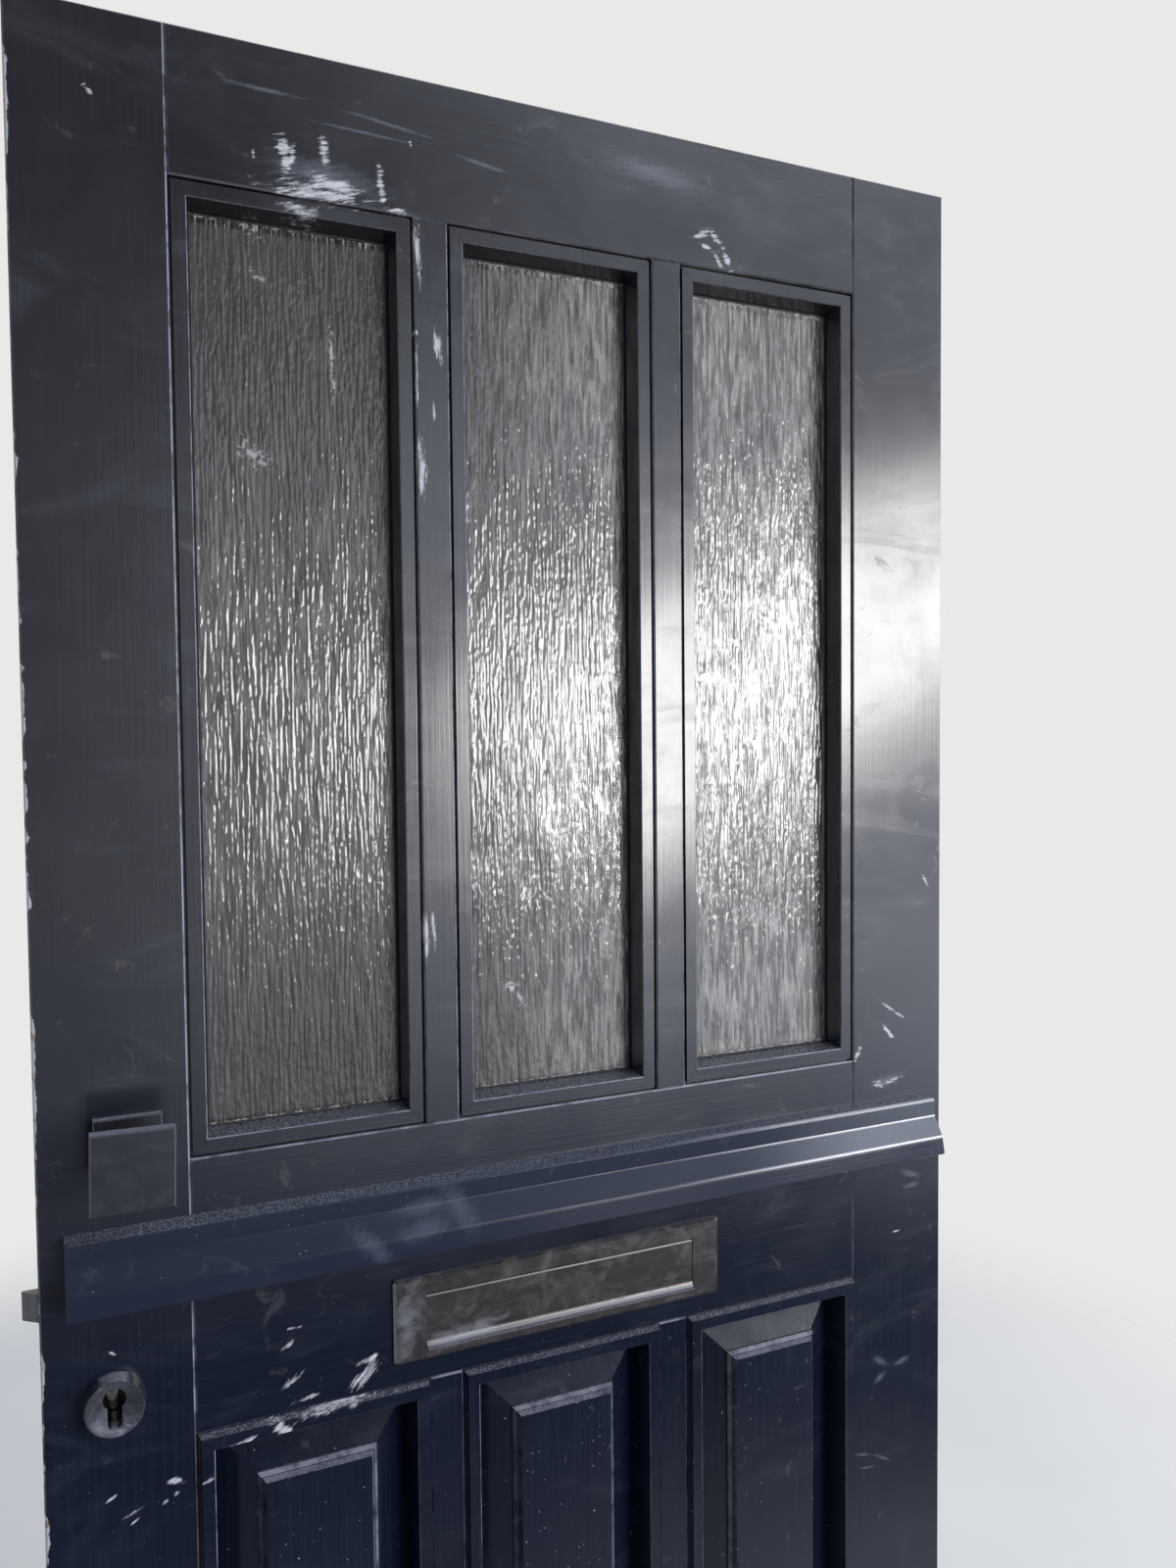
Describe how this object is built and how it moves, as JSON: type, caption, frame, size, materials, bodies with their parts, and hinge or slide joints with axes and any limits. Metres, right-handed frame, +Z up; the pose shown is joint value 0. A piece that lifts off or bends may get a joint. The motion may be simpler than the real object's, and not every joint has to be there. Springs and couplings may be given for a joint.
{
  "type": "panelled front door",
  "caption": "Painted timber entrance door leaf with tall glazed lights over raised panels, drip moulding, pull knob, letter plate, lock and hinges.",
  "frame": {"origin": "on the leaf's bottom edge, halfway across its width and its thickness", "axes": "+Z up along the leaf's height, +Y from the outer face to the room side, +X to the right as seen from outside, towards the hinges"},
  "size_m": [0.951, 0.178, 2.115],
  "materials": {
    "door_paint": "satin anthracite paint on timber",
    "bead_paint": "satin anthracite paint on timber",
    "patterned_glass": "patterned with vertical streaks",
    "clear_glass": "clear",
    "spacer_bar": "mill",
    "dark_metal": "dark bronzed satin",
    "satin_steel": "satin",
    "lock_steel": "zinc coated",
    "hinge_steel": "satin"
  },
  "bodies": {
    "hinge_frame_side": {"hinge_frame_leaf_top": "hinge_steel", "hinge_frame_leaf_middle": "hinge_steel", "hinge_frame_leaf_bottom": "hinge_steel", "hinge_pins": "hinge_steel"},
    "door_leaf": {"lock_stile": "door_paint", "hinge_stile": "door_paint", "top_rail": "door_paint", "lock_rail": "door_paint", "bottom_rail": "door_paint", "upper_muntin_left": "door_paint", "upper_muntin_right": "door_paint", "lower_muntin_left": "door_paint", "lower_muntin_right": "door_paint", "drip_moulding": "door_paint", "raised_panel_left": "door_paint", "panel_moulding_left": "door_paint", "raised_panel_middle": "door_paint", "panel_moulding_middle": "door_paint", "raised_panel_right": "door_paint", "panel_moulding_right": "door_paint", "bead_left_left": "bead_paint", "bead_left_top": "bead_paint", "bead_left_right": "bead_paint", "bead_left_bottom": "bead_paint", "bead_middle_left": "bead_paint", "bead_middle_top": "bead_paint", "bead_middle_right": "bead_paint", "bead_middle_bottom": "bead_paint", "bead_right_left": "bead_paint", "bead_right_top": "bead_paint", "bead_right_right": "bead_paint", "bead_right_bottom": "bead_paint", "outer_pane_left": "patterned_glass", "outer_pane_middle": "patterned_glass", "outer_pane_right": "patterned_glass", "inner_pane_left": "clear_glass", "inner_pane_middle": "clear_glass", "inner_pane_right": "clear_glass", "pane_spacers": "spacer_bar", "pull_knob": "dark_metal", "knob_rose": "dark_metal", "escutcheon_outer": "dark_metal", "letter_plate": "dark_metal", "letter_flap_pin": "dark_metal", "knob_bolt": "satin_steel", "escutcheon_inner": "satin_steel", "escutcheon_screws": "satin_steel", "lever_rose": "satin_steel", "letter_inner_frame": "satin_steel", "lock_faceplate": "satin_steel", "lock_case": "lock_steel", "hinge_door_leaf_top": "hinge_steel", "hinge_door_leaf_middle": "hinge_steel", "hinge_door_leaf_bottom": "hinge_steel"},
    "flap": {"letter_flap": "dark_metal"},
    "lever": {"lever_handle": "satin_steel", "lever_spindle": "satin_steel", "lock_follower": "satin_steel"},
    "latch": {"latch_bolt": "satin_steel"},
    "dead_bolt": {"deadbolt": "satin_steel"}
  },
  "joints": [
    {"name": "door_swing", "type": "hinge", "parent": "hinge_frame_side", "child": "door_leaf", "pos_m": [0.4665, 0.034, 0], "axis": [0, 0, -1], "range_deg": [0, 110]},
    {"name": "flap_lift", "type": "hinge", "parent": "door_leaf", "child": "flap", "pos_m": [0, -0.0286, 1.0097], "axis": [-1, 0, 0], "range_deg": [0, 80]},
    {"name": "lever_turn", "type": "hinge", "parent": "door_leaf", "child": "lever", "pos_m": [-0.41, 0, 1.055], "axis": [0, 1, 0], "range_deg": [0, 45], "stiffness_Nm_per_rad": 0.9, "springref_deg": -34.38},
    {"name": "latch_slide", "type": "slide", "parent": "door_leaf", "child": "latch", "axis": [1, 0, 0], "range_m": [0, 0.013]},
    {"name": "deadbolt_slide", "type": "slide", "parent": "door_leaf", "child": "dead_bolt", "axis": [-1, 0, 0], "range_m": [0, 0.02]}
  ],
  "couplings": [
    {"joint": "latch_slide", "follows": "lever_turn", "m_per_rad": 0.0165}
  ]
}
